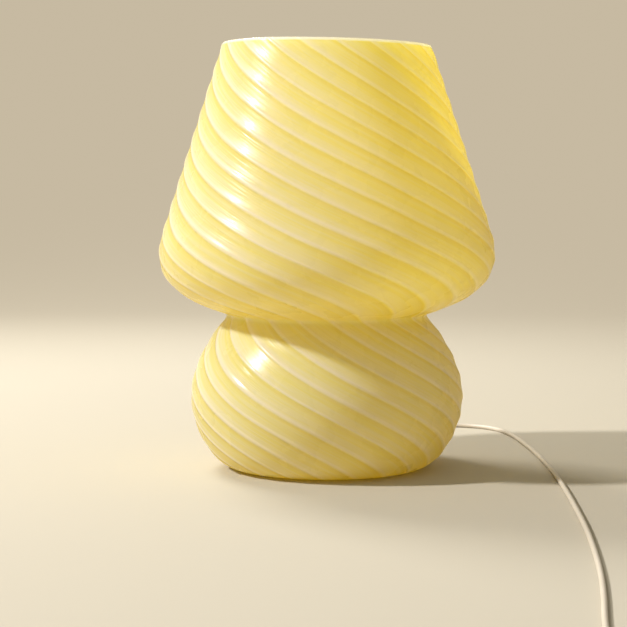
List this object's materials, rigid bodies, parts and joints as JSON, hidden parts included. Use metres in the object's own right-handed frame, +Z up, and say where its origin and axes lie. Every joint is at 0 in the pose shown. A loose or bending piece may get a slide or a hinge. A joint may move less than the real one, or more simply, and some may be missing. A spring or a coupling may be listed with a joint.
{
  "type": "mushroom table lamp",
  "caption": "Mushroom-shaped table lamp of one-piece swirl-ribbed yellow glass, open at the top, with a small globe bulb inside and a cord with an in-line switch and a plug.",
  "frame": {"origin": "centre of the base on the plane that the lamp stands on", "axes": "+Z up along the lamp's axis, -Y towards the room and the viewer, +Y the side where the cord leaves"},
  "size_m": [0.3175, 0.6327, 0.24],
  "materials": {
    "yellow_glass": "milky yellow blown glass, glossy, with twisted light ribs",
    "clear_rubber": "clear soft feet",
    "zinc_steel": "bright zinc-plated steel",
    "black_rubber": "soft black washer rubber",
    "brass": "turned and stamped brass",
    "holder_plastic": "white thermoplastic, fine matt",
    "holder_ceramic": "unglazed steatite",
    "opal_glass": "opal white bulb glass",
    "bulb_plastic": "white moulded collar",
    "bulb_metal": "plated screw cap",
    "black_insulator": "black insulating resin",
    "grommet_rubber": "pale rubber bush",
    "cord_sheath": "pale beige sheath, slightly satin",
    "wire_insulation": "brown core insulation",
    "switch_plastic": "off-white moulded housing",
    "rocker_plastic": "off-white rocker",
    "plug_plastic": "off-white moulded plug",
    "pin_nickel": "nickel-plated pins"
  },
  "bodies": {
    "lamp": {"glass_shade": "yellow_glass", "glass_base": "yellow_glass", "foot_pads": "clear_rubber", "fixing_nut": "zinc_steel", "lower_steel_washer": "zinc_steel", "lower_rubber_washer": "black_rubber", "upper_rubber_washer": "black_rubber", "upper_steel_washer": "zinc_steel", "lower_threaded_tube": "zinc_steel", "upper_threaded_tube": "zinc_steel", "side_outlet_coupling": "brass", "holder_cap": "holder_plastic", "holder_sleeve": "holder_plastic", "holder_insert": "holder_ceramic", "socket_shell": "brass", "holder_grub_screw": "zinc_steel", "centre_contact": "brass", "terminal_screws": "brass", "cord_grommet": "grommet_rubber", "inner_cord": "cord_sheath", "core_wires": "wire_insulation", "cord_run": "cord_sheath", "cord_tail": "cord_sheath", "cord_coil": "cord_sheath", "cord_end": "cord_sheath", "switch_base": "switch_plastic", "switch_cover": "switch_plastic", "switch_terminals": "brass", "cord_clamps": "switch_plastic", "switch_leads": "cord_sheath", "switch_screws": "zinc_steel", "switch_reliefs": "switch_plastic", "plug_body": "plug_plastic", "plug_relief": "plug_plastic", "plug_pins": "pin_nickel", "pin_sleeves": "black_insulator"},
    "bulb": {"bulb_globe": "opal_glass", "bulb_collar": "bulb_plastic", "bulb_cap": "bulb_metal", "bulb_insulator": "black_insulator", "bulb_tip": "bulb_metal"},
    "rocker": {"switch_rocker": "rocker_plastic", "rocker_pusher": "zinc_steel"},
    "see_saw": {"contact_bar": "brass"}
  },
  "joints": [
    {"name": "bulb_lift", "type": "slide", "parent": "lamp", "child": "bulb", "axis": [0, 0, 1], "range_m": [0, 0.19]},
    {"name": "rocker_tilt", "type": "hinge", "parent": "lamp", "child": "rocker", "pos_m": [0.014, -0.452, 0.0108], "axis": [0, 1, 0], "range_deg": [0, 16]},
    {"name": "see_saw_tilt", "type": "hinge", "parent": "lamp", "child": "see_saw", "pos_m": [0.014, -0.452, 0.0046], "axis": [0, 1, 0], "range_deg": [-9.6, 0]}
  ],
  "couplings": [
    {"joint": "see_saw_tilt", "follows": "rocker_tilt", "ratio": -0.6}
  ]
}
